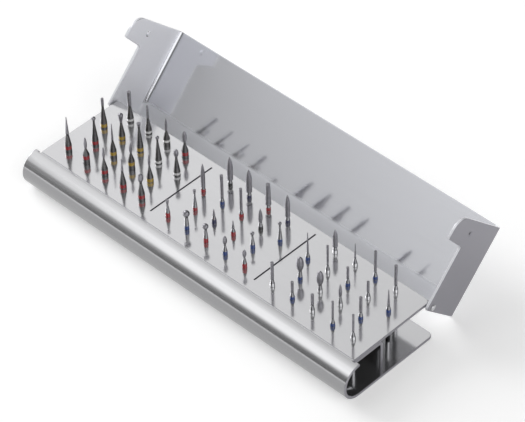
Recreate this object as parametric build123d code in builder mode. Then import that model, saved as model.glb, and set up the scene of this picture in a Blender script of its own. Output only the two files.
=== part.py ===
"""Dental bur block: a folded sheet-steel stand with a hinged lid and its burs.

Millimetres. X runs along the block, Y from the front roll to the hinged rear, Z up.
The origin is on the underside, below the centre of the field of bur holes.
"""

import os
from collections import namedtuple
from math import acos, asin, cos, degrees, radians, sin

from build123d import *

# Hole field: three groups, each with rows of five and four holes set half a pitch apart
group_count = 3
long_row = 5
row_count = 4
pitch_x = 8.5
pitch_y = 8.0
group_gap = 12.0

# Base: one sheet bent over a front roll into a floor below and a hole plate on top
sheet_thickness = 1.0
base_height = 13.6
base_overhang = 2.3
base_rear_setback = 0.7
floor_corner_radius = 2.0
plate_end_margin = 6.3
plate_front_margin = 6.4
plate_rear_margin = 4.4
plate_corner_radius = 2.0
relief_radius = 0.5
score_width = 0.3
score_depth = 0.15
divider_width = 0.6
divider_depth = 0.5
divider_overrun = 2.0
sheet_edge_radius = 0.2

# Bracket, welded below the front of the hole plate and standing on the floor
bracket_thickness = 1.0
bracket_bend_radius = 0.8
wall_front_y = -6.4

# Lid, measured from its rear edge and from its outer face
lid_thickness = 1.0
lid_length = 31.8
lid_open_angle = 46.5
lid_side_gap = 0.6
lid_bend_radius = 1.5
lid_edge_radius = 0.2
flap_depth = 18.6
flap_corner_radius = 1.0
tab_depth = 28.0
tab_width = 9.4
tab_slant = 1.3
tab_corner_radius = 5.0
tab_tip_radius = 0.8
dimple_radius = 1.0
dimple_height = 0.3
dimple_depth = 0.3
dimple_from_edge = 4.5
dimple_below_axis = 1.9

# Hinge
pin_from_lid_edge = 1.5
pin_from_lid_face = 15.7
pin_below_plate = 1.5
pin_before_plate_edge = 0.5
pin_radius = 0.6
pin_head_radius = 1.05
pin_head_height = 0.4
pin_head_gap = 0.1
pin_running_gap = 0.05
lug_thickness = 1.0
lug_radius = 1.3
lug_length = 3.4

# Burs, with a friction-grip or a latch shank
friction_shank_diameter = 1.6
latch_shank_diameter = 2.35
shank_running_gap = 0.05
shank_chamfer = 0.2
neck_limit = 0.6
tip_radius = 0.15
frustum_taper = 0.7

# Each bur's head shape and diameter, its head length, and how far its tip and the top of its
# full shank stand above the hole plate
Bur = namedtuple("Bur", "shape diameter length height collar")
group_names = ("left", "middle", "right")
burs = (
    (
        (
            Bur("needle", 1.2, 7.0, 14.6, 2.8),
            Bur("flame", 1.15, 4.5, 10.9, 3.7),
            Bur("flame", 0.95, 4.5, 11.8, 2.7),
            Bur("needle", 0.95, 5.0, 12.1, 1.8),
            Bur("egg", 1.85, 3.7, 11.0, 2.5),
        ),
        (
            Bur("ball", 1.45, 1.4, 12.1, 2.3),
            Bur("needle", 0.85, 6.5, 14.1, 2.8),
            Bur("flame", 1.1, 4.0, 10.9, 3.5),
            Bur("flame", 0.95, 4.5, 11.2, 1.7),
        ),
        (
            Bur("cylinder", 1.0, 3.0, 12.4, 2.1),
            Bur("pear", 1.75, 3.8, 11.0, 1.8),
            Bur("cone", 1.4, 1.2, 11.8, 1.9),
            Bur("ball", 1.35, 1.3, 11.4, 1.5),
            Bur("egg", 1.7, 3.2, 10.8, 1.6),
        ),
        (
            Bur("cylinder", 1.35, 5.8, 12.7, 1.7),
            Bur("taper", 1.1, 5.0, 11.6, 1.5),
            Bur("flame", 1.1, 5.0, 11.2, 2.7),
            Bur("egg", 1.7, 4.9, 10.8, 2.5),
        ),
    ),
    (
        (
            Bur("cone", 1.15, 1.6, 7.1, 1.6),
            Bur("ball", 2.3, 2.2, 7.9, 1.4),
            Bur("ball", 2.0, 1.9, 7.7, 1.5),
            Bur("egg", 1.5, 3.6, 7.9, 1.3),
            Bur("egg", 1.4, 3.0, 7.5, 1.6),
        ),
        (
            Bur("cone", 1.1, 1.5, 8.7, 1.2),
            Bur("needle", 0.95, 2.5, 5.8, 1.3),
            Bur("needle", 0.95, 3.0, 6.3, 1.4),
            Bur("ball", 1.35, 1.3, 7.0, 1.4),
        ),
        (
            Bur("torpedo", 1.5, 9.6, 11.8, 1.0),
            Bur("cylinder", 1.1, 9.5, 12.4, 1.0),
            Bur("cylinder", 1.0, 9.0, 12.0, 1.0),
            Bur("flame", 1.5, 5.5, 8.5, 1.0),
            Bur("ball", 1.25, 1.2, 8.5, 1.0),
        ),
        (
            Bur("torpedo", 2.05, 9.3, 12.1, 1.0),
            Bur("torpedo", 2.05, 9.2, 12.0, 1.0),
            Bur("taper", 2.05, 8.5, 11.2, 1.0),
            Bur("torpedo", 1.7, 8.9, 11.7, 1.0),
        ),
    ),
    (
        (
            Bur("cylinder", 1.1, 7.0, 10.1, 1.0),
            Bur("cylinder", 1.0, 4.2, 7.4, 1.0),
            Bur("cylinder", 1.1, 4.2, 7.7, 1.0),
            Bur("cylinder", 0.8, 7.0, 10.5, 1.0),
            Bur("cylinder", 0.8, 7.0, 10.6, 1.0),
        ),
        (
            Bur("egg", 2.5, 5.8, 9.5, 1.0),
            Bur("egg", 2.35, 5.8, 9.0, 1.0),
            Bur("flame", 1.2, 5.0, 9.0, 1.0),
            Bur("cylinder", 1.1, 6.0, 9.3, 1.0),
        ),
        (
            Bur("needle", 0.8, 8.0, 11.5, 1.0),
            Bur("cylinder", 0.8, 8.0, 11.6, 1.0),
            Bur("cylinder", 0.95, 4.5, 7.9, 1.0),
            Bur("cylinder", 0.95, 4.2, 7.4, 1.0),
            Bur("needle", 1.05, 6.5, 9.6, 1.0),
        ),
        (
            Bur("torpedo", 1.7, 7.0, 10.0, 1.0),
            Bur("needle", 0.7, 6.0, 9.6, 1.0),
            Bur("cylinder", 1.0, 8.5, 11.9, 1.0),
            Bur("cylinder", 1.1, 8.0, 11.4, 1.0),
        ),
    ),
)

# Neck radius as a share of the head's radius
neck_share = {
    "ball": 0.5,
    "cone": 0.6,
    "cylinder": 0.85,
    "egg": 0.5,
    "flame": 0.7,
    "needle": 0.85,
    "pear": 0.5,
    "taper": 0.8,
    "torpedo": 0.7,
}

# Worked-out sizes of the plate and base
group_length = (long_row - 1) * pitch_x
field_length = group_count * group_length + (group_count - 1) * group_gap
field_depth = (row_count - 1) * pitch_y
plate_end = field_length / 2 + plate_end_margin
plate_front = -field_depth / 2 - plate_front_margin
plate_rear = field_depth / 2 + plate_rear_margin
plate_bottom = base_height - sheet_thickness
base_end = plate_end + base_overhang
floor_rear = plate_rear - base_rear_setback
roll_radius = base_height / 2
wall_rear_y = wall_front_y + bracket_thickness
bracket_outer_bend = bracket_bend_radius + bracket_thickness
flange_bottom = plate_bottom - bracket_thickness
friction_hole_radius = friction_shank_diameter / 2 + shank_running_gap
latch_hole_radius = latch_shank_diameter / 2 + shank_running_gap

# Worked-out places of the hinge and lid
hinge_y = plate_rear - pin_before_plate_edge
hinge_z = base_height - pin_below_plate
flap_inner = plate_end + lid_side_gap
flap_outer = flap_inner + lid_thickness
panel_start = -pin_from_lid_edge
panel_end = panel_start + lid_length
panel_face = -pin_from_lid_face
flap_edge = panel_face + flap_depth
tab_edge = panel_face + tab_depth
tab_start = panel_end - tab_width


def side_plane(x):
    """Plane across the block at x: its own x runs to the rear and its own y up."""
    return Plane(origin=(x, 0, 0), x_dir=(0, 1, 0), z_dir=(1, 0, 0))


def lid_plane(x):
    """Plane across the lid at x, centred on the hinge: x along the panel, y towards the tabs."""
    tilt = radians(lid_open_angle)
    return Plane(origin=(x, hinge_y, hinge_z), x_dir=(0, cos(tilt), sin(tilt)), z_dir=(1, 0, 0))


def hole_places():
    """Yield group, row, column, x and y of each bur hole, rows counted from the front."""
    for group in range(group_count):
        group_start = -field_length / 2 + group * (group_length + group_gap)
        for row in range(row_count):
            staggered = row % 2
            for column in range(long_row - staggered):
                x = group_start + (column + staggered / 2) * pitch_x
                y = -field_depth / 2 + row * pitch_y
                yield group, row, column, x, y


def is_latch_hole(group):
    """The left group takes the thicker latch shanks."""
    return group == 0


def hole_radius(group):
    return latch_hole_radius if is_latch_hole(group) else friction_hole_radius


def is_inner_bend(corner):
    """Corners of the lid's section where the panel meets a flap on the inside."""
    return abs(corner.Y - panel_face - lid_thickness) < 0.01


def rim_edges(sheet, across, thickness):
    """Long edges of a sheet's rim, whose seams between its faces run along the axis across it."""
    upright = [face for face in sheet.faces() if abs(face.normal_at().dot(across.direction)) < 0.01]
    rims = ShapeList(upright).sort_by(SortBy.AREA)[:-2]
    seams = rims.edges().filter_by(across).filter_by(lambda edge: edge.length < 2 * thickness)
    return [edge for edge in rims.edges() if edge not in seams]


def cap_arc(apex_x, apex_angle, cap_width, cap_height):
    """Half outline of a shallow dome on the x axis, from its apex round to its rim."""
    radius = (cap_width**2 + cap_height**2) / (2 * cap_height)
    way = 1 if apex_angle == 0 else -1
    return CenterArc((apex_x - way * radius, 0), radius, apex_angle, way * degrees(asin(cap_width / radius)))


def neck_length(bur):
    """Length of the even neck below the head: the rest is a cone down to the shank."""
    return 0.15 * (bur.height - bur.length - bur.collar)


def draw_head(bur, neck_radius, foot, tip):
    """Draw a head's half outline from the top of the neck to the axis at the tip."""
    radius = bur.diameter / 2
    if bur.shape == "cylinder":
        Polyline((neck_radius, foot), (radius, foot), (radius, tip), (0, tip))
    elif bur.shape == "taper":
        Polyline((neck_radius, foot), (radius, foot), (frustum_taper * radius, tip), (0, tip))
    elif bur.shape == "cone":
        Polyline((neck_radius, foot), (radius, tip), (0, tip))
    elif bur.shape == "needle":
        Polyline((neck_radius, foot), (radius, foot), (tip_radius, tip), (0, tip))
    elif bur.shape == "torpedo":
        side = Polyline((neck_radius, foot), (radius, foot), (radius, foot + bur.length / 2))
        nose = TangentArc(side @ 1, (tip_radius, tip), tangent=(0, 1))
        Line(nose @ 1, (0, tip))
    elif bur.shape == "ball":
        start = -degrees(acos(neck_radius / radius))
        ball = CenterArc((0, tip - radius), radius, start, 90 - start)
        Line((neck_radius, foot), ball @ 0)
    elif bur.shape == "egg":
        centre = (0, foot + bur.length / 2)
        start = -degrees(acos(neck_radius / radius))
        egg = EllipticalCenterArc(centre, radius, bur.length / 2, start_angle=start, arc_size=90 - start)
        Line((neck_radius, foot), egg @ 0)
    elif bur.shape == "flame":
        belly = (radius, foot + bur.length / 3)
        root = TangentArc(belly, (neck_radius, foot), tangent=(0, -1))
        point = TangentArc(root @ 0, (tip_radius, tip), tangent=(0, 1))
        Line(point @ 1, (0, tip))
    elif bur.shape == "pear":
        belly = (radius, tip - radius)
        Line((neck_radius, foot), belly)
        CenterArc((0, tip - radius), radius, 0, 90)


os.makedirs("parts", exist_ok=True)

# Base sheet: the hole plate, the roll and the floor, with a lug for the hinge at each rear corner
with BuildPart() as base_sheet:
    with BuildSketch(side_plane(-base_end)) as base_section:
        with BuildLine():
            floor_under = Line((floor_rear, 0), (plate_front, 0))
            roll_outer = JernArc(floor_under @ 1, (-1, 0), roll_radius, -180)
            plate_over = Line(roll_outer @ 1, (plate_rear, base_height))
            plate_back = Line(plate_over @ 1, (plate_rear, plate_bottom))
            plate_under = Line(plate_back @ 1, (plate_front, plate_bottom))
            roll_inner = JernArc(plate_under @ 1, (-1, 0), roll_radius - sheet_thickness, 180)
            floor_over = Line(roll_inner @ 1, (floor_rear, sheet_thickness))
            Line(floor_over @ 1, floor_under @ 0)
        make_face()
    extrude(amount=2 * base_end)
    # The plate is cut back at both ends, so that the lid's flaps pass beside it above the floor
    with BuildSketch(Plane.XY.offset(roll_radius)) as end_notches:
        for side in (-1, 1):
            with Locations((side * (plate_end + base_overhang / 2), (plate_front + plate_rear) / 2)):
                Rectangle(base_overhang, plate_rear - plate_front)
            with Locations((side * (plate_end + relief_radius / 2), plate_front)):
                Circle(relief_radius)
    extrude(amount=roll_radius, mode=Mode.SUBTRACT)
    upright_edges = base_sheet.edges().filter_by(Axis.Z)
    plate_corners = upright_edges.filter_by_position(Axis.Z, plate_bottom, base_height).group_by(Axis.Y)[-1]
    fillet(plate_corners, plate_corner_radius)
    floor_corners = base_sheet.edges().filter_by(Axis.Z).group_by(Axis.Z)[0].group_by(Axis.Y)[-1]
    fillet(floor_corners, floor_corner_radius)
    fillet(rim_edges(base_sheet, Axis.Z, sheet_thickness), sheet_edge_radius)
    with BuildSketch(side_plane(plate_end), side_plane(lug_thickness - plate_end)) as lugs:
        with BuildLine():
            lug_top = Line((hinge_y, hinge_z + lug_radius), (hinge_y - lug_length, hinge_z + lug_radius))
            lug_front = Line(lug_top @ 1, (hinge_y - lug_radius, hinge_z))
            JernArc(lug_front @ 1, (0, -1), lug_radius, 270)
        make_face()
    extrude(amount=-lug_thickness)
    with BuildSketch(side_plane(plate_end), side_plane(lug_thickness - plate_end)) as pin_holes:
        with Locations((hinge_y, hinge_z)):
            Circle(pin_radius)
    extrude(amount=-lug_thickness, mode=Mode.SUBTRACT)
    with BuildSketch(Plane.XY.offset(base_height)) as bur_holes:
        for group, row, column, x, y in hole_places():
            with Locations((x, y)):
                Circle(hole_radius(group))
    extrude(amount=-sheet_thickness, mode=Mode.SUBTRACT)
    with BuildSketch(Plane.XY.offset(base_height)) as dividers:
        with GridLocations(group_length + group_gap, 0, group_count - 1, 1):
            Rectangle(divider_width, field_depth + 2 * divider_overrun)
    extrude(amount=-divider_depth, mode=Mode.SUBTRACT)
    # A fine line is scored where the roll begins
    with BuildSketch(Plane.XY.offset(base_height)) as score:
        with Locations((0, plate_front)):
            Rectangle(2 * base_end, score_width)
    extrude(amount=-score_depth, mode=Mode.SUBTRACT)
base_sheet.part.label = "base_sheet"
export_step(base_sheet.part, "parts/base_sheet.step")

# Bracket: a flange below the plate, with the front row's holes, and a wall down to the floor
with BuildPart() as bracket:
    with BuildSketch(side_plane(-plate_end)) as bracket_section:
        with BuildLine():
            flange_top = Line((plate_front, plate_bottom), (wall_rear_y - bracket_outer_bend, plate_bottom))
            bend_outer = JernArc(flange_top @ 1, (1, 0), bracket_outer_bend, -90)
            wall_rear = Line(bend_outer @ 1, (wall_rear_y, sheet_thickness))
            wall_foot = Line(wall_rear @ 1, (wall_front_y, sheet_thickness))
            wall_front = Line(wall_foot @ 1, (wall_front_y, plate_bottom - bracket_outer_bend))
            bend_inner = JernArc(wall_front @ 1, (0, 1), bracket_bend_radius, 90)
            flange_under = Line(bend_inner @ 1, (plate_front, flange_bottom))
            Line(flange_under @ 1, flange_top @ 0)
        make_face()
    extrude(amount=2 * plate_end)
    with BuildSketch(Plane.XY.offset(plate_bottom)) as bracket_holes:
        for group, row, column, x, y in hole_places():
            if y < wall_front_y:
                with Locations((x, y)):
                    Circle(hole_radius(group))
    extrude(amount=-bracket_thickness, mode=Mode.SUBTRACT)
bracket.part.label = "bracket"
export_step(bracket.part, "parts/bracket.step")

# Lid: one sheet with both ends bent forward into flaps, drawn standing open
lid_section_plane = Plane(
    origin=lid_plane(0).from_local_coords(Vector(panel_start, 0, 0)),
    x_dir=(1, 0, 0),
    z_dir=-lid_plane(0).x_dir,
)
with BuildPart() as lid:
    with BuildSketch(lid_section_plane) as channel:
        with Locations((0, (panel_face + tab_edge) / 2)):
            Rectangle(2 * flap_outer, tab_depth)
        with Locations((0, (panel_face + lid_thickness + tab_edge) / 2)):
            Rectangle(2 * flap_inner, tab_depth - lid_thickness, mode=Mode.SUBTRACT)
        fillet(channel.vertices().group_by(Axis.Y)[0], lid_bend_radius + lid_thickness)
        fillet(channel.vertices().filter_by(is_inner_bend), lid_bend_radius)
    extrude(amount=-lid_length)
    # Both flaps are deepest in the tab at their free edge
    with BuildSketch(lid_plane(-flap_outer)) as flap_outline:
        with BuildLine():
            Polyline(
                (panel_start, panel_face),
                (panel_end, panel_face),
                (panel_end, tab_edge),
                (tab_start + tab_slant, tab_edge),
                (tab_start, flap_edge),
                (panel_start, flap_edge),
                close=True,
            )
        make_face()
        fillet(flap_outline.vertices().sort_by(Axis.X)[2:4], tab_tip_radius)
        fillet(flap_outline.vertices().group_by(Axis.X)[-1].sort_by(Axis.Y)[-1], tab_corner_radius)
        fillet(flap_outline.vertices().group_by(Axis.X)[0].sort_by(Axis.Y)[-1], flap_corner_radius)
    extrude(amount=2 * flap_outer, mode=Mode.INTERSECT)
    fillet(rim_edges(lid, Axis.X, lid_thickness), lid_edge_radius)
    with BuildSketch(lid_plane(-flap_outer)) as lid_pin_holes:
        Circle(pin_radius + pin_running_gap)
    extrude(amount=2 * flap_outer, mode=Mode.SUBTRACT)
    # A dimple pressed into each flap stands in on its inner face and leaves a dent outside
    for side in (-1, 1):
        for face_x, way in ((flap_inner, Mode.ADD), (flap_outer, Mode.SUBTRACT)):
            spot = Vector(panel_end - dimple_from_edge, dimple_below_axis, 0)
            centre = lid_plane(side * face_x).from_local_coords(spot)
            with BuildSketch(Plane(centre, x_dir=(side, 0, 0), z_dir=lid_plane(0).x_dir)):
                with BuildLine():
                    cap = cap_arc(-dimple_height, 180, dimple_radius, dimple_height)
                    Polyline(cap @ 1, (dimple_depth, dimple_radius), (dimple_depth, 0), cap @ 0)
                make_face()
            revolve(axis=Axis(centre, (side, 0, 0)), mode=way)
lid.part.label = "lid"
export_step(lid.part, "parts/lid.step")

# Hinge pins, fixed in the lugs, with a domed head outside the flap
for side, side_name in ((-1, "left"), (1, "right")):
    hinge_point = (0, hinge_y, hinge_z)
    with BuildPart() as hinge_pin:
        with BuildSketch(Plane(hinge_point, x_dir=(side, 0, 0), z_dir=(0, -1, 0))):
            with BuildLine():
                tail_end = plate_end - lug_thickness
                head_start = flap_outer + pin_head_gap
                head = cap_arc(head_start + pin_head_height, 0, pin_head_radius, pin_head_height)
                Polyline(
                    head @ 1,
                    (head_start, pin_radius),
                    (tail_end, pin_radius),
                    (tail_end, 0),
                    head @ 0,
                )
            make_face()
        revolve(axis=Axis(hinge_point, (1, 0, 0)))
    hinge_pin.part.label = f"hinge_pin_{side_name}"
    export_step(hinge_pin.part, f"parts/hinge_pin_{side_name}.step")

# Burs, each resting on the floor of the base
for group, row, column, x, y in hole_places():
    bur = burs[group][row][column]
    shank_radius = latch_shank_diameter / 2 if is_latch_hole(group) else friction_shank_diameter / 2
    tip = base_height + bur.height
    head_foot = tip - bur.length
    neck_radius = min(bur.diameter / 2 * neck_share[bur.shape], neck_limit)
    with BuildPart() as bur_solid:
        with BuildSketch(Plane((x, y, 0), x_dir=(1, 0, 0), z_dir=(0, -1, 0))) as half_profile:
            with BuildLine():
                Polyline(
                    (0, tip),
                    (0, sheet_thickness),
                    (shank_radius - shank_chamfer, sheet_thickness),
                    (shank_radius, sheet_thickness + shank_chamfer),
                    (shank_radius, base_height + bur.collar),
                    (neck_radius, head_foot - neck_length(bur)),
                    (neck_radius, head_foot),
                )
                draw_head(bur, neck_radius, head_foot, tip)
            make_face()
        revolve(axis=Axis((x, y, 0), (0, 0, 1)))
    name = f"bur_{group_names[group]}_{row + 1}{column + 1}_{bur.shape}"
    bur_solid.part.label = name
    export_step(bur_solid.part, f"parts/{name}.step")
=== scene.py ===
"""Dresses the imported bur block: satin sheet steel, polished pins, gritted burs with colour rings."""

from math import cos, hypot, pi, radians, sin

import bmesh
import bpy
import numpy as np
from bpy.props import FloatProperty, FloatVectorProperty, IntProperty, PointerProperty
from mathutils import Matrix, Vector, noise


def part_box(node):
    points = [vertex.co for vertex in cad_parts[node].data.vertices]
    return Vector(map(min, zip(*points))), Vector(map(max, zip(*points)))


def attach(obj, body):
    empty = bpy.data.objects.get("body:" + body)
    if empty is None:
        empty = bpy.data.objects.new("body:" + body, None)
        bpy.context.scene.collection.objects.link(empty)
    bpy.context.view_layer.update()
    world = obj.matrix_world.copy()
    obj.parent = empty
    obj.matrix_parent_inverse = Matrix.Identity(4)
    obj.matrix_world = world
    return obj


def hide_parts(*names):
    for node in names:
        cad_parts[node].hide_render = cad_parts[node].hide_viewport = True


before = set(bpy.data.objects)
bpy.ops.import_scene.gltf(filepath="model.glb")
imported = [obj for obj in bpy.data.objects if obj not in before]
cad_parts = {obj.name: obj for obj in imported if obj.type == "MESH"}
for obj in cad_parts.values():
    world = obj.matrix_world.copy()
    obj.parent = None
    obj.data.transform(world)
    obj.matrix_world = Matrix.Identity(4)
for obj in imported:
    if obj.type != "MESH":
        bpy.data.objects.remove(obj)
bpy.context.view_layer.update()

bl_info = {
    "name": "Bur block",
    "version": (1, 0, 0),
    "blender": (4, 5, 0),
    "location": "3D View > Sidebar > Bur block",
    "description": "Finishes the steel block, its lid, its hinge pins and its burs",
    "category": "Object",
}

MM = 0.001

# The photograph's frame, and the camera that sees the block as it does
PHOTO_WIDTH = 525
CAMERA_TARGET = Vector((5.06, 11.43, 13.6)) * MM
CAMERA_DISTANCE = 944.6 * MM
CAMERA_AZIMUTH = radians(44.6047)
CAMERA_ELEVATION = radians(43.173)
CAMERA_ROLL = radians(-1.1696)
FOCAL_LENGTH_PX = 2966.6
CENTRE_OFFSET_PX = (6.5, 0.97)
SENSOR_WIDTH = 36.0

PLATE_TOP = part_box("base_sheet")[1][2]
SHEETS = ("base_sheet", "bracket", "lid")
PINS = ("hinge_pin_left", "hinge_pin_right")

# Material slots of the sheets
PLAIN, DULL_SHADED, RIM_HIGHLIGHT, SHADED_DENT, FLAP_LIT, BACK = range(6)

# How much of each finish is mirror and not dull
BASE_MIRROR = 0.93
LID_MIRROR = 0.9
DULL_MIRROR = 0.7
RIM_MIRROR = 0.4
FLAP_MIRROR = 0.35
FOOT_MIRROR = 0.1

# Share of the colour that the base keeps, as painted shade, on faces that look sideways or down, and the
# Z of the face's normal from where it grows to the whole colour
UNDERSIDE_PAINTED_SHADE = 0.46
PAINTED_SHADE_NORMALS = (0.36, 0.52)

# The lower edge of the open panel inside is matt, because a mirror there shows the dark gap behind
# the plate, and it is lightened with painted light. Its heights, from the matt edge to the full mirror,
# and its painted-light colour in shares of the lid's
PANEL_FOOT = (4.3 * MM, 5.4 * MM)
FOOT_PAINTED_LIGHT = 1.27

# A point inside the lid, and the flaps' inner faces
LID_MIDDLE = Vector((0.0, 21.0, 22.0)) * MM
FLAP_INSIDE = 69.95 * MM

# Y and Z of the dent that a flap's pressed dimple leaves outside, and its colour in shares of the dull:
# painted shade in the dent
DENT_PLACE = (32.28 * MM, 32.12 * MM)
DENT_RADIUS = 0.5 * MM
DENT_PAINTED_SHADE = 0.3

# X of a normal, of either sign: more than this looks sideways, and more than that straight sideways
SIDEWAYS = 0.7
STRAIGHT_SIDEWAYS = 0.95

# Where the grooves in the plate are: the two dividers, and the line scored along the roll
GROOVE_DEPTH = 0.6 * MM
GROOVE_REACH = 30.0 * MM
PLATE_REAR = 15.0 * MM
SCORED_LINE = -18.4 * MM
SCORED_REACH = 0.2 * MM

# Roughness of the turned steel
PIN_ROUGHNESS = 0.22
SHANK_ROUGHNESS = 0.12
LATCH_ROUGHNESS = 0.28

# Ring colour of each bur, row by row from the front and from the left
RINGS = {
    "left": (
        "red red red red red",
        "red gold gold gold",
        "gold gold gold white white",
        "white white white red",
    ),
    "middle": (
        "red blue red blue red",
        "red navy red blue",
        "red blue red black blue",
        "black navy red navy",
    ),
    "right": (
        "silver blue silver blue silver",
        "blue silver silver blue",
        "blue silver blue silver blue",
        "silver silver blue silver",
    ),
}

# Places in a bur's outline of the top of its full shank and the foot of its head
COLLAR, HEAD_FOOT = 2, 4

# Material slots of a bur
SHANK, RING, HEAD = range(3)

# Scale of the diamond grains, both in the shape and in the material
GRAIN_SCALE = 9000.0

# A ring on a thin shank goes from this height above the plate to this height above the collar
RING_START = 0.1 * MM
RING_RISE = 0.4 * MM

# Half a latch ring in shares of its height, and that of the narrower white ones
HALF_RING = 0.5
HALF_WHITE_RING = 0.33

# Height of each latch bur's ring above the hole plate, in millimetres
LATCH_RING_HEIGHTS = (
    (2.0, 2.9, 1.9, 1.0, 1.7),
    (1.5, 2.0, 2.7, 0.9),
    (1.3, 1.0, 1.1, 0.9, 1.0),
    (1.1, 0.9, 2.1, 1.7),
)

# In metres: outline points nearer than the first are one, and nearer to a line than the second are on it
SAME_PLACE = 5e-6
ON_LINE = 2e-6


class BurBlockSheetSettings(bpy.types.PropertyGroup):
    """Finish of the bent steel sheets and the hinge pins."""

    steel_color: FloatVectorProperty(
        name="Steel colour",
        description="Colour of the base's sheet steel",
        subtype="COLOR",
        size=3,
        min=0.0,
        max=1.0,
        default=(0.705, 0.705, 0.72),
    )
    lid_color: FloatVectorProperty(
        name="Lid colour",
        description="Colour of the lid's panel, a little cooler than the base",
        subtype="COLOR",
        size=3,
        min=0.0,
        max=1.0,
        default=(0.70, 0.708, 0.745),
    )
    pin_color: FloatVectorProperty(
        name="Pin colour",
        description="Colour of the hinge pins",
        subtype="COLOR",
        size=3,
        min=0.0,
        max=1.0,
        default=(0.56, 0.565, 0.58),
    )
    # Painted shade: the cut ends, the dividers and the flaps' outside are darkened to this colour
    dull_shaded_color: FloatVectorProperty(
        name="Dull steel colour",
        description="Colour of the cut ends, the dividers and the outside of the lid's flaps",
        subtype="COLOR",
        size=3,
        min=0.0,
        max=1.0,
        default=(0.30, 0.295, 0.325),
    )
    # Painted light: lighter steel for the flaps inside, and painted highlights on the cut rims and on
    # the scored line
    rim_color: FloatVectorProperty(
        name="Rim colour",
        description="Colour of the lid's flaps inside, of their cut rims and of the line along the roll",
        subtype="COLOR",
        size=3,
        min=0.0,
        max=1.0,
        default=(0.865, 0.87, 0.91),
    )
    steel_roughness: FloatProperty(
        name="Steel roughness",
        description="Roughness of the base's sheet steel, which softly mirrors the burs",
        subtype="FACTOR",
        min=0.0,
        max=1.0,
        default=0.13,
    )
    lid_roughness: FloatProperty(
        name="Lid roughness",
        description="Roughness of the lid's panel, which mirrors the rear burs as soft streaks",
        subtype="FACTOR",
        min=0.0,
        max=1.0,
        default=0.1,
    )
    dull_roughness: FloatProperty(
        name="Dull steel roughness",
        description="Roughness of the cut ends, the dividers and both sides of the lid's flaps",
        subtype="FACTOR",
        min=0.0,
        max=1.0,
        default=0.32,
    )


class BurBlockBurSettings(bpy.types.PropertyGroup):
    """Shape detail and finish of the burs."""

    turns: IntProperty(
        name="Turns",
        description="Number of points round each bur",
        min=12,
        max=96,
        default=40,
    )
    grit_depth: FloatProperty(
        name="Grit depth",
        description="How far the grit of a head is sunk between its grains",
        unit="LENGTH",
        min=0.0,
        max=0.0002,
        default=0.00005,
    )
    grit_step: FloatProperty(
        name="Grit step",
        description="Distance between the points along a head",
        unit="LENGTH",
        min=0.00005,
        max=0.001,
        default=0.00012,
    )
    ring_height: FloatProperty(
        name="Ring height",
        description="Height of a coloured ring on a latch shank",
        unit="LENGTH",
        min=0.0002,
        max=0.003,
        default=0.0014,
    )
    shank_color: FloatVectorProperty(
        name="Shank colour",
        description="Colour of the polished shanks and necks",
        subtype="COLOR",
        size=3,
        min=0.0,
        max=1.0,
        default=(0.34, 0.34, 0.35),
    )
    latch_color: FloatVectorProperty(
        name="Latch shank colour",
        description="Colour of the darker shanks and necks of the latch burs",
        subtype="COLOR",
        size=3,
        min=0.0,
        max=1.0,
        default=(0.15, 0.148, 0.15),
    )
    grit_color: FloatVectorProperty(
        name="Grit colour",
        description="Colour of the diamond grit in its nickel bond",
        subtype="COLOR",
        size=3,
        min=0.0,
        max=1.0,
        default=(0.30, 0.295, 0.32),
    )
    red: FloatVectorProperty(
        name="Red ring",
        description="Colour of the red rings",
        subtype="COLOR",
        size=3,
        min=0.0,
        max=1.0,
        default=(0.33, 0.006, 0.013),
    )
    blue: FloatVectorProperty(
        name="Blue ring",
        description="Colour of the blue rings",
        subtype="COLOR",
        size=3,
        min=0.0,
        max=1.0,
        default=(0.012, 0.045, 0.2),
    )
    navy: FloatVectorProperty(
        name="Navy ring",
        description="Colour of the navy rings",
        subtype="COLOR",
        size=3,
        min=0.0,
        max=1.0,
        default=(0.015, 0.018, 0.08),
    )
    gold: FloatVectorProperty(
        name="Gold ring",
        description="Colour of the gold rings",
        subtype="COLOR",
        size=3,
        min=0.0,
        max=1.0,
        default=(0.42, 0.27, 0.02),
    )
    white: FloatVectorProperty(
        name="White ring",
        description="Colour of the white rings",
        subtype="COLOR",
        size=3,
        min=0.0,
        max=1.0,
        default=(0.78, 0.78, 0.78),
    )
    black: FloatVectorProperty(
        name="Black ring",
        description="Colour of the black rings",
        subtype="COLOR",
        size=3,
        min=0.0,
        max=1.0,
        default=(0.01, 0.01, 0.011),
    )
    silver: FloatVectorProperty(
        name="Silver ring",
        description="Colour of the bare, bright rings",
        subtype="COLOR",
        size=3,
        min=0.0,
        max=1.0,
        default=(0.72, 0.72, 0.73),
    )


class BurBlockStageSettings(bpy.types.PropertyGroup):
    """Floor and studio light."""

    floor_color: FloatVectorProperty(
        name="Floor colour",
        description="Colour of the studio floor",
        subtype="COLOR",
        size=3,
        min=0.0,
        max=1.0,
        default=(0.82, 0.82, 0.82),
    )
    floor_glow: FloatProperty(
        name="Floor glow",
        description="White added where the floor is seen or mirrored, so that it reads as white paper",
        min=0.0,
        max=1.0,
        default=0.38,
    )
    world_strength: FloatProperty(
        name="Surrounding light",
        description="Strength of the light from the studio's walls and ceiling",
        min=0.0,
        max=5.0,
        default=1.0,
    )
    key_power: FloatProperty(
        name="Key light",
        description="Power of the large light on the left, which leaves the right side in soft shade",
        unit="POWER",
        min=0.0,
        max=100.0,
        default=4.5,
    )


# Brightness of the studio at each height of gaze, from the horizon (0) to straight up (1)
STUDIO_LEVELS = (
    (0.0, 0.14),
    (0.25, 0.16),
    (0.48, 0.40),
    (0.64, 0.88),
    (0.72, 0.92),
    (0.85, 1.0),
    (1.0, 1.0),
)

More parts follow.
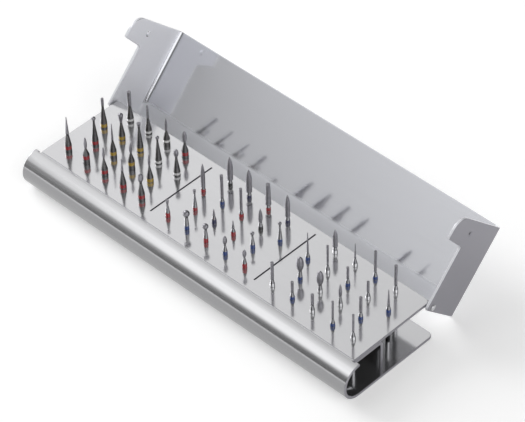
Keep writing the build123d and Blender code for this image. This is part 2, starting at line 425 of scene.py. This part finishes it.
# Share of that brightness from the front (0) over the middle (0.5) to the back (1). It is highest
# before the middle, where the roll's bright band looks
DEPTH_SHARES = (
    (0.0, 1.0),
    (0.15, 1.25),
    (0.33, 1.35),
    (0.48, 1.0),
    (0.62, 0.78),
    (0.7, 0.68),
    (0.745, 1.0),
    (1.0, 1.0),
)

# The studio is brighter towards the left: from and to which X of gaze, and its share at either end
SIDE_SPAN = (-0.8, -0.1)
SIDE_SHARES = (1.45, 0.2)

# Three soft lights, in front on the left, on the right and low on the left: where each fades in
# along X, Y and Z of gaze, and its brightness
SOFT_LIGHTS = (
    (((-0.57, -0.43), (-0.3, -0.6), (0.40, 0.52)), 0.32),
    (((0.35, 0.80), (0.6, 0.2), (-0.05, 0.05)), 1.5),
    (((-0.70, -0.85), (1.0, 0.6), (-0.05, 0.05)), 1.0),
)
# The first one fades out again along X
LEFT_LIGHT_END = (-0.35, -0.15)

# A dark corner high on the left in front: where it fades in along X, Y and Z of gaze, and the share
# of the light that it takes away
DARK_CORNER = ((-0.54, -0.575), (0.3, -0.4), (0.3, 0.45)), 0.6

# Place and size of the large lamp on the left, and how far the floor goes on each side
KEY_PLACE = (-0.85, -0.1, 0.5)
KEY_SIZE = (0.5, 0.5)
FLOOR_REACH = 3.0


def new_material(name):
    """An empty node material: its tree, its shader and its object-space texture coordinates."""
    material = bpy.data.materials.new(name)
    material.use_nodes = True
    tree = material.node_tree
    shader = tree.nodes["Principled BSDF"]
    place = tree.nodes.new("ShaderNodeTexCoord")
    return material, tree, shader, place.outputs["Object"]


def scaled(tree, vector, scale):
    """The coordinates stretched by a scale along each axis."""
    mapping = tree.nodes.new("ShaderNodeMapping")
    mapping.inputs["Scale"].default_value = scale
    tree.links.new(vector, mapping.inputs["Vector"])
    return mapping.outputs["Vector"]


def noise_of(tree, vector, scale, detail):
    """A noise value over the coordinates."""
    texture = tree.nodes.new("ShaderNodeTexNoise")
    texture.inputs["Scale"].default_value = scale
    texture.inputs["Detail"].default_value = detail
    tree.links.new(vector, texture.inputs["Vector"])
    return texture.outputs["Fac"]


def ranged(tree, value, low, high):
    """A value spread between two limits."""
    node = tree.nodes.new("ShaderNodeMapRange")
    node.inputs["From Min"].default_value = 0.3
    node.inputs["From Max"].default_value = 0.7
    node.inputs["To Min"].default_value = low
    node.inputs["To Max"].default_value = high
    tree.links.new(value, node.inputs["Value"])
    return node.outputs["Result"]


def smooth_step(tree, value, span, levels):
    """A value that goes smoothly from one level to another over a span."""
    node = tree.nodes.new("ShaderNodeMapRange")
    node.interpolation_type = "SMOOTHSTEP"
    node.inputs["From Min"].default_value, node.inputs["From Max"].default_value = span
    node.inputs["To Min"].default_value, node.inputs["To Max"].default_value = levels
    tree.links.new(value, node.inputs["Value"])
    return node.outputs["Result"]


def curved(tree, value, points):
    """A value led through a curve of (place, level) points, as a share of the curve's highest level."""
    node = tree.nodes.new("ShaderNodeFloatCurve")
    top = max(level for place, level in points)
    curve = node.mapping.curves[0]
    for point, (place, level) in zip(curve.points, (points[0], points[-1])):
        point.location = (place, level / top)
    for place, level in points[1:-1]:
        curve.points.new(place, level / top)
    node.mapping.update()
    tree.links.new(value, node.inputs["Value"])
    return node.outputs["Value"], top


def calculated(tree, operation, *values):
    """The result of a math node over values, each a number or a socket."""
    node = tree.nodes.new("ShaderNodeMath")
    node.operation = operation
    for socket, value in zip(node.inputs, values):
        if isinstance(value, float):
            socket.default_value = value
        else:
            tree.links.new(value, socket)
    return node.outputs["Value"]


def soft_light(tree, gaze, spans, level):
    """Brightness of a soft light that fades in along X, Y and Z of gaze."""
    light = smooth_step(tree, gaze.outputs["X"], spans[0], (0.0, level))
    for axis, span in zip("YZ", spans[1:]):
        part = smooth_step(tree, gaze.outputs[axis], span, (0.0, 1.0))
        light = calculated(tree, "MULTIPLY", light, part)
    return light


def tinted(tree, value, color, spread):
    """A colour that a noise value makes a little darker and lighter."""
    ramp = tree.nodes.new("ShaderNodeValToRGB")
    low, high = ramp.color_ramp.elements
    low.position, high.position = 0.3, 0.7
    low.color = (*[channel * (1 - spread) for channel in color], 1)
    high.color = (*[min(1, channel * (1 + spread)) for channel in color], 1)
    tree.links.new(value, ramp.inputs["Fac"])
    return ramp.outputs["Color"]


def bumped(tree, shader, height, strength, distance):
    """Sets the shader's normal from a height."""
    bump = tree.nodes.new("ShaderNodeBump")
    bump.inputs["Strength"].default_value = strength
    bump.inputs["Distance"].default_value = distance
    tree.links.new(height, bump.inputs["Height"])
    tree.links.new(bump.outputs["Normal"], shader.inputs["Normal"])


def satin_steel(name, color, roughness, mirror, painted_underside_shade=1.0, foot=None):
    """Sheet steel, part mirror and part dull, with a faint grain along X and soft, cloudy wear.

    Faces that look sideways or down are darkened, as painted shade, to the share of their colour that
    the argument after the mirror gives. A foot gives the heights between which a matt lower edge,
    lightened with painted light, turns into the mirror above it.
    """
    material, tree, shader, place = new_material(name)
    shader.inputs["Metallic"].default_value = mirror
    if foot:
        heights = tree.nodes.new("ShaderNodeSeparateXYZ")
        tree.links.new(place, heights.inputs["Vector"])
        fade = smooth_step(tree, heights.outputs["Z"], foot, (FOOT_MIRROR, mirror))
        tree.links.new(fade, shader.inputs["Metallic"])
    grain = noise_of(tree, scaled(tree, place, (60, 2600, 2600)), scale=1.0, detail=2.0)
    clouds = noise_of(tree, place, scale=34.0, detail=4.0)
    wear = ranged(tree, clouds, low=0.9 * roughness, high=1.15 * roughness)
    tree.links.new(wear, shader.inputs["Roughness"])
    split = tree.nodes.new("ShaderNodeSeparateXYZ")
    tree.links.new(place.node.outputs["Normal"], split.inputs["Vector"])
    # Painted shade: faces that look sideways or down keep only a share of the colour
    polish = smooth_step(tree, split.outputs["Z"], PAINTED_SHADE_NORMALS, (painted_underside_shade, 1.0))
    if foot:
        # Painted light: the foot's colour is lighter than the lid's, the most at its matt edge
        shade = smooth_step(tree, heights.outputs["Z"], foot, (FOOT_PAINTED_LIGHT, 1.0))
        polish = calculated(tree, "MULTIPLY", polish, shade)
    shaded = tree.nodes.new("ShaderNodeVectorMath")
    shaded.operation = "SCALE"
    tree.links.new(tinted(tree, grain, color, spread=0.012), shaded.inputs[0])
    tree.links.new(polish, shaded.inputs["Scale"])
    tree.links.new(shaded.outputs["Vector"], shader.inputs["Base Color"])
    return material


def polished_steel(name, color, roughness):
    """Turned steel with faint tool marks round it."""
    material, tree, shader, place = new_material(name)
    shader.inputs["Metallic"].default_value = 1.0
    marks = noise_of(tree, scaled(tree, place, (300, 300, 16000)), scale=1.0, detail=2.0)
    wear = ranged(tree, marks, low=0.8 * roughness, high=1.3 * roughness)
    tree.links.new(wear, shader.inputs["Roughness"])
    tree.links.new(tinted(tree, marks, color, spread=0.06), shader.inputs["Base Color"])
    bumped(tree, shader, marks, strength=0.08, distance=0.01 * MM)
    return material


def diamond_grit(name, color):
    """Dark nickel bond set with pale diamond grains."""
    material, tree, shader, place = new_material(name)
    shader.inputs["Metallic"].default_value = 0.8
    grains = tree.nodes.new("ShaderNodeTexVoronoi")
    grains.inputs["Scale"].default_value = GRAIN_SCALE
    tree.links.new(place, grains.inputs["Vector"])
    speckle = noise_of(tree, place, scale=3400.0, detail=3.0)
    tree.links.new(tinted(tree, speckle, color, spread=0.5), shader.inputs["Base Color"])
    tree.links.new(ranged(tree, speckle, low=0.28, high=0.48), shader.inputs["Roughness"])
    bumped(tree, shader, grains.outputs["Distance"], strength=0.6, distance=0.03 * MM)
    return material


def ring_paint(name, color):
    """Glossy colour ring, slightly uneven."""
    material, tree, shader, place = new_material(name)
    shader.inputs["Coat Weight"].default_value = 0.5
    shader.inputs["Coat Roughness"].default_value = 0.08
    patches = noise_of(tree, place, scale=1800.0, detail=2.0)
    tree.links.new(tinted(tree, patches, color, spread=0.12), shader.inputs["Base Color"])
    tree.links.new(ranged(tree, patches, low=0.22, high=0.34), shader.inputs["Roughness"])
    return material


def outline_of(mesh):
    """The axis (x, y) of a turned node, and its half outline as (radius, height) from the bottom up."""
    points = np.array([vertex.co[:] for vertex in mesh.vertices])
    bottom = points[points[:, 2] < points[:, 2].min() + 1e-6]
    system = np.column_stack((2 * bottom[:, :2], np.ones(len(bottom))))
    solution = np.linalg.lstsq(system, (bottom[:, :2] ** 2).sum(axis=1), rcond=None)[0]
    axis = solution[:2]
    radius = np.hypot(points[:, 0] - axis[0], points[:, 1] - axis[1])
    pairs = sorted({(round(z, 6), round(r, 6)) for z, r in zip(points[:, 2], radius)})
    outline = []
    for z, r in pairs:
        if outline and max(abs(outline[-1][0] - r), abs(outline[-1][1] - z)) < SAME_PLACE:
            continue
        outline.append((r, z))
    # Points on the straight line between their neighbours are left out
    for n in range(len(outline) - 2, 0, -1):
        (r0, z0), (r1, z1), (r2, z2) = outline[n - 1 : n + 2]
        width, height = r2 - r0, z2 - z0
        off_line = abs(width * (z1 - z0) - height * (r1 - r0)) / max(hypot(width, height), 1e-9)
        if off_line < ON_LINE:
            del outline[n]
    # Where two radii share a height, the one nearer to the last comes first
    for n in range(1, len(outline) - 1):
        same_height = abs(outline[n][1] - outline[n + 1][1]) < SAME_PLACE
        step, next_step = (abs(outline[k][0] - outline[n - 1][0]) for k in (n, n + 1))
        if same_height and next_step < step:
            outline[n], outline[n + 1] = outline[n + 1], outline[n]
    return axis, outline


def stepped(start, end, step):
    """Points from start towards end, start left out and end included."""
    count = max(1, round(hypot(end[0] - start[0], end[1] - start[1]) / step))
    return [
        (start[0] + (end[0] - start[0]) * n / count, start[1] + (end[1] - start[1]) * n / count)
        for n in range(1, count + 1)
    ]


def turned_mesh(name, axis, levels, turns, grit_depth):
    """A closed mesh turned round an axis from levels of (radius, height, material slot, gritted)."""
    mesh = bpy.data.meshes.new(name)
    shape = bmesh.new()
    rings = []
    for radius, height, _, gritted in levels:
        ring = []
        for turn in range(turns):
            angle = 2 * pi * turn / turns
            place = Vector((axis[0] + radius * cos(angle), axis[1] + radius * sin(angle), height))
            sunk = 0.0
            if gritted:
                sunk = grit_depth * (0.5 + 0.5 * noise.noise(place * GRAIN_SCALE))
            reach = max(radius - sunk, 0.0)
            point = (axis[0] + reach * cos(angle), axis[1] + reach * sin(angle), height)
            ring.append(shape.verts.new(point))
        rings.append(ring)
    for lower, upper, level in zip(rings, rings[1:], levels[1:]):
        for turn in range(turns):
            following = (turn + 1) % turns
            face = shape.faces.new((lower[turn], lower[following], upper[following], upper[turn]))
            face.material_index = level[2]
            face.smooth = True
    shape.faces.new(reversed(rings[0]))
    top = shape.faces.new(rings[-1])
    top.material_index = levels[-1][2]
    shape.to_mesh(mesh)
    shape.free()
    return mesh


def bur_levels(outline, ring_low, ring_high, grit_step):
    """Levels of a bur with its ring and its gritted head."""
    levels = [(*outline[0], SHANK, False)]
    for n, (start, end) in enumerate(zip(outline, outline[1:])):
        gritted = n >= HEAD_FOOT
        if gritted:
            levels += [(r, z, HEAD, True) for r, z in stepped(start, end, grit_step)]
            continue
        # Split the plain stretches where the ring begins and ends
        cuts = [z for z in (ring_low, ring_high) if start[1] < z < end[1]]
        for z in cuts:
            share = (z - start[1]) / (end[1] - start[1])
            radius = start[0] + (end[0] - start[0]) * share
            levels.append((radius, z, RING if z == ring_high else SHANK, False))
        inside_ring = ring_low < end[1] <= ring_high
        levels.append((*end, RING if inside_ring else SHANK, False))
    return levels


def lid_finish(place, normal):
    """Slot of a face of the lid: its flaps are matt and lightened with painted light inside, dull and
    darkened with painted shade outside, with painted highlights on their rims.

    The panel's outside differs from its inside in that it has no matt foot lightened with painted light.
    """
    in_flap = abs(place.x) > FLAP_INSIDE
    # The dent outside a dimple is darkened with painted shade
    if in_flap and hypot(place.y - DENT_PLACE[0], place.z - DENT_PLACE[1]) < DENT_RADIUS:
        return SHADED_DENT
    outside = normal.dot(place - LID_MIDDLE) > 0
    # The flaps' outside is darkened with painted shade
    if outside and abs(normal.x) > SIDEWAYS:
        return DULL_SHADED
    # The flaps' cut rims get a painted highlight
    if in_flap and abs(normal.x) < SIDEWAYS:
        return RIM_HIGHLIGHT
    if outside:
        return BACK
    # The flaps' inner faces are lightened with painted light
    return FLAP_LIT if abs(normal.x) > STRAIGHT_SIDEWAYS else PLAIN


def base_finish(place, normal):
    """Slot of a face of the base or the bracket: dull and darkened with painted shade at the cut ends
    and in the two dividers.

    The line scored along the roll is bright with a painted highlight.
    """
    sunk = (PLATE_TOP - place.z) / GROOVE_DEPTH
    in_groove = 0.1 < sunk < 1.0 and normal.z > 0.5
    divider = abs(place.x) < GROOVE_REACH and SCORED_LINE < place.y < PLATE_REAR
    scored = abs(place.y - SCORED_LINE) < SCORED_REACH
    # The line scored along the roll is a painted highlight
    if in_groove and scored:
        return RIM_HIGHLIGHT
    return DULL_SHADED if abs(normal.x) > 0.5 or (in_groove and divider) else PLAIN


class BURBLOCK_OT_sheets(bpy.types.Operator):
    """Finish the base, its bracket and the lid in satin steel"""

    bl_idname = "burblock.sheets"
    bl_label = "Sheets"

    def execute(self, context):
        settings = context.scene.burblock_sheets
        rough, smooth, dim = settings.steel_roughness, settings.lid_roughness, settings.dull_roughness
        bright = satin_steel("base_steel", settings.steel_color, rough, BASE_MIRROR, UNDERSIDE_PAINTED_SHADE)
        satin = satin_steel("lid_steel", settings.lid_color, smooth, LID_MIRROR, foot=PANEL_FOOT)
        # Painted shade: the dull finish darkens the cut ends, the dividers and the flaps' outside
        dull = satin_steel("dull_shaded_steel", settings.dull_shaded_color, dim, DULL_MIRROR)
        # Painted light on the flaps inside, and painted highlights on their rims and on the scored line
        rim = satin_steel("rim_highlight_steel", settings.rim_color, dim, RIM_MIRROR)
        flap = satin_steel("flap_lit_steel", settings.rim_color, dim, FLAP_MIRROR)
        # Painted shade in the dimple's dent
        dent_shade_color = [DENT_PAINTED_SHADE * channel for channel in settings.dull_shaded_color]
        dent = satin_steel("dent_shade_steel", dent_shade_color, dim, DULL_MIRROR)
        back = satin_steel("back_steel", settings.lid_color, smooth, LID_MIRROR)
        for node in SHEETS:
            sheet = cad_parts[node].data
            sheet.materials.clear()
            for material in (satin if node == "lid" else bright, dull, rim, dent, flap, back):
                sheet.materials.append(material)
            finish = lid_finish if node == "lid" else base_finish
            for polygon in sheet.polygons:
                polygon.material_index = finish(Vector(polygon.center), Vector(polygon.normal))
        return {"FINISHED"}


class BURBLOCK_OT_pins(bpy.types.Operator):
    """Finish the hinge pins in polished steel"""

    bl_idname = "burblock.pins"
    bl_label = "Hinge pins"

    def execute(self, context):
        settings = context.scene.burblock_sheets
        polish = polished_steel("pin_steel", settings.pin_color, PIN_ROUGHNESS)
        for node in PINS:
            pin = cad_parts[node]
            pin.data.materials.clear()
            pin.data.materials.append(polish)
        return {"FINISHED"}


class BURBLOCK_OT_burs(bpy.types.Operator):
    """Turn every bur again from its node's outline, with its colour ring and gritted head"""

    bl_idname = "burblock.burs"
    bl_label = "Burs"

    def execute(self, context):
        settings = context.scene.burblock_burs
        bare = polished_steel("bare_shank", settings.shank_color, SHANK_ROUGHNESS)
        dark = polished_steel("dark_shank", settings.latch_color, LATCH_ROUGHNESS)
        grit = diamond_grit("diamond_grit", settings.grit_color)
        paints = {
            name: ring_paint(f"{name}_ring", getattr(settings, name))
            for name in ("red", "blue", "navy", "gold", "white", "black")
        }
        paints["silver"] = polished_steel("silver_ring", settings.silver, SHANK_ROUGHNESS)
        burs = [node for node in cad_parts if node.startswith("bur_")]
        if not burs:
            raise RuntimeError("The frame holds no burs")
        for node in sorted(burs):
            group, place = node.split("_")[1:3]
            row, column = int(place[0]) - 1, int(place[1]) - 1
            paint = paints[RINGS[group][row].split()[column]]
            axis, outline = outline_of(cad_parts[node].data)
            ring_low, ring_high = PLATE_TOP + RING_START, outline[COLLAR][1] + RING_RISE
            if group == "left":
                share = HALF_WHITE_RING if paint is paints["white"] else HALF_RING
                half = share * settings.ring_height
                middle = PLATE_TOP + LATCH_RING_HEIGHTS[row][column] * MM
                ring_low, ring_high = middle - half, middle + half
            levels = bur_levels(outline, ring_low, ring_high, settings.grit_step)
            mesh = turned_mesh(f"turned_{node}", axis, levels, settings.turns, settings.grit_depth)
            for material in (dark if group == "left" else bare, paint, grit):
                mesh.materials.append(material)
            bur = bpy.data.objects.new(f"turned_{node}", mesh)
            context.scene.collection.objects.link(bur)
            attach(bur, "base")
            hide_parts(node)
        return {"FINISHED"}


def area_light(context, name, place, size, power):
    """Adds a studio lamp that points at the block."""
    lamp = bpy.data.lights.new(name, "AREA")
    lamp.shape = "RECTANGLE"
    lamp.size, lamp.size_y = size
    lamp.energy = power
    holder = bpy.data.objects.new(name, lamp)
    holder.location = place
    holder.rotation_euler = (CAMERA_TARGET - Vector(place)).to_track_quat("-Z", "Y").to_euler()
    context.scene.collection.objects.link(holder)


class BURBLOCK_OT_stage(bpy.types.Operator):
    """Set up the floor, the studio light and the camera"""

    bl_idname = "burblock.stage"
    bl_label = "Stage"

    def execute(self, context):
        settings = context.scene.burblock_stage
        self.lay_floor(context, settings)
        self.light_world(context, settings)
        area_light(context, "key_light", KEY_PLACE, KEY_SIZE, settings.key_power)
        self.aim_camera(context)
        context.scene.view_settings.view_transform = "Standard"
        return {"FINISHED"}

    def lay_floor(self, context, settings):
        mesh = bpy.data.meshes.new("studio_floor")
        signs = ((-1, -1), (1, -1), (1, 1), (-1, 1))
        corners = [(x * FLOOR_REACH, y * FLOOR_REACH, 0) for x, y in signs]
        mesh.from_pydata(corners, [], [(0, 1, 2, 3)])
        material, tree, shader, place = new_material("floor_paper")
        fibres = noise_of(tree, place, scale=900.0, detail=4.0)
        paper = tinted(tree, fibres, settings.floor_color, spread=0.01)
        tree.links.new(paper, shader.inputs["Base Color"])
        shader.inputs["Roughness"].default_value = 0.9
        shader.inputs["Emission Color"].default_value = (1, 1, 1, 1)
        rays = tree.nodes.new("ShaderNodeLightPath")
        seen = rays.outputs["Is Camera Ray"]
        for ray in ("Is Glossy Ray", "Is Transmission Ray"):
            seen = calculated(tree, "MAXIMUM", seen, rays.outputs[ray])
        glow = calculated(tree, "MULTIPLY", seen, settings.floor_glow)
        tree.links.new(glow, shader.inputs["Emission Strength"])
        mesh.materials.append(material)
        floor = bpy.data.objects.new("studio_floor", mesh)
        context.scene.collection.objects.link(floor)

    def light_world(self, context, settings):
        world = bpy.data.worlds.new("studio")
        world.use_nodes = True
        tree = world.node_tree
        background = tree.nodes["Background"]
        background.inputs["Strength"].default_value = settings.world_strength
        gaze = tree.nodes.new("ShaderNodeTexCoord").outputs["Generated"]
        split = tree.nodes.new("ShaderNodeSeparateXYZ")
        tree.links.new(gaze, split.inputs["Vector"])
        walls, wall_top = curved(tree, split.outputs["Z"], STUDIO_LEVELS)
        depth = calculated(tree, "MULTIPLY_ADD", split.outputs["Y"], 0.5, 0.5)
        strips, strip_top = curved(tree, depth, DEPTH_SHARES)
        side_levels = [share * wall_top * strip_top for share in SIDE_SHARES]
        side = smooth_step(tree, split.outputs["X"], SIDE_SPAN, side_levels)
        soft = [soft_light(tree, split, spans, level) for spans, level in SOFT_LIGHTS]
        left_end = smooth_step(tree, split.outputs["X"], LEFT_LIGHT_END, (1.0, 0.0))
        light = calculated(tree, "MULTIPLY", walls, strips)
        light = calculated(tree, "MULTIPLY_ADD", light, side, calculated(tree, "ADD", soft[1], soft[2]))
        light = calculated(tree, "MULTIPLY_ADD", soft[0], left_end, light)
        left_over = calculated(tree, "SUBTRACT", 1.0, soft_light(tree, split, *DARK_CORNER))
        light = calculated(tree, "MULTIPLY", light, left_over)
        tree.links.new(light, background.inputs["Color"])
        context.scene.world = world

    def aim_camera(self, context):
        lens = bpy.data.cameras.new("photo_camera")
        lens.sensor_width = SENSOR_WIDTH
        lens.lens = FOCAL_LENGTH_PX * SENSOR_WIDTH / PHOTO_WIDTH
        lens.shift_x = -CENTRE_OFFSET_PX[0] / PHOTO_WIDTH
        lens.shift_y = CENTRE_OFFSET_PX[1] / PHOTO_WIDTH
        lens.clip_start = 0.01
        back = Vector(
            (
                sin(CAMERA_AZIMUTH) * cos(CAMERA_ELEVATION),
                -cos(CAMERA_AZIMUTH) * cos(CAMERA_ELEVATION),
                sin(CAMERA_ELEVATION),
            )
        )
        level = Vector((cos(CAMERA_AZIMUTH), sin(CAMERA_AZIMUTH), 0))
        steep = back.cross(level)
        right = level * cos(CAMERA_ROLL) + steep * sin(CAMERA_ROLL)
        up = steep * cos(CAMERA_ROLL) - level * sin(CAMERA_ROLL)
        turn = Matrix((right, up, back)).transposed().to_4x4()
        camera = bpy.data.objects.new("photo_camera", lens)
        camera.matrix_world = Matrix.Translation(CAMERA_TARGET + back * CAMERA_DISTANCE) @ turn
        context.scene.collection.objects.link(camera)
        context.scene.camera = camera


class BURBLOCK_PT_panel(bpy.types.Panel):
    """The block's steps and settings"""

    bl_idname = "BURBLOCK_PT_panel"
    bl_label = "Bur block"
    bl_space_type = "VIEW_3D"
    bl_region_type = "UI"
    bl_category = "Bur block"

    def draw(self, context):
        for settings, operators in PANEL_ROWS:
            box = self.layout.box()
            for name in getattr(context.scene, settings).__annotations__:
                box.prop(getattr(context.scene, settings), name)
            for operator in operators:
                box.operator(operator)


PANEL_ROWS = (
    ("burblock_sheets", (BURBLOCK_OT_sheets.bl_idname, BURBLOCK_OT_pins.bl_idname)),
    ("burblock_burs", (BURBLOCK_OT_burs.bl_idname,)),
    ("burblock_stage", (BURBLOCK_OT_stage.bl_idname,)),
)

CLASSES = (
    BurBlockSheetSettings,
    BurBlockBurSettings,
    BurBlockStageSettings,
    BURBLOCK_OT_sheets,
    BURBLOCK_OT_pins,
    BURBLOCK_OT_burs,
    BURBLOCK_OT_stage,
    BURBLOCK_PT_panel,
)


def register():
    for cls in CLASSES:
        bpy.utils.register_class(cls)
    bpy.types.Scene.burblock_sheets = PointerProperty(type=BurBlockSheetSettings)
    bpy.types.Scene.burblock_burs = PointerProperty(type=BurBlockBurSettings)
    bpy.types.Scene.burblock_stage = PointerProperty(type=BurBlockStageSettings)


def unregister():
    del bpy.types.Scene.burblock_stage
    del bpy.types.Scene.burblock_burs
    del bpy.types.Scene.burblock_sheets
    for cls in reversed(CLASSES):
        bpy.utils.unregister_class(cls)


def main():
    register()
    bpy.ops.burblock.sheets()
    bpy.ops.burblock.pins()
    bpy.ops.burblock.burs()
    bpy.ops.burblock.stage()


if __name__ == "__main__":
    main()
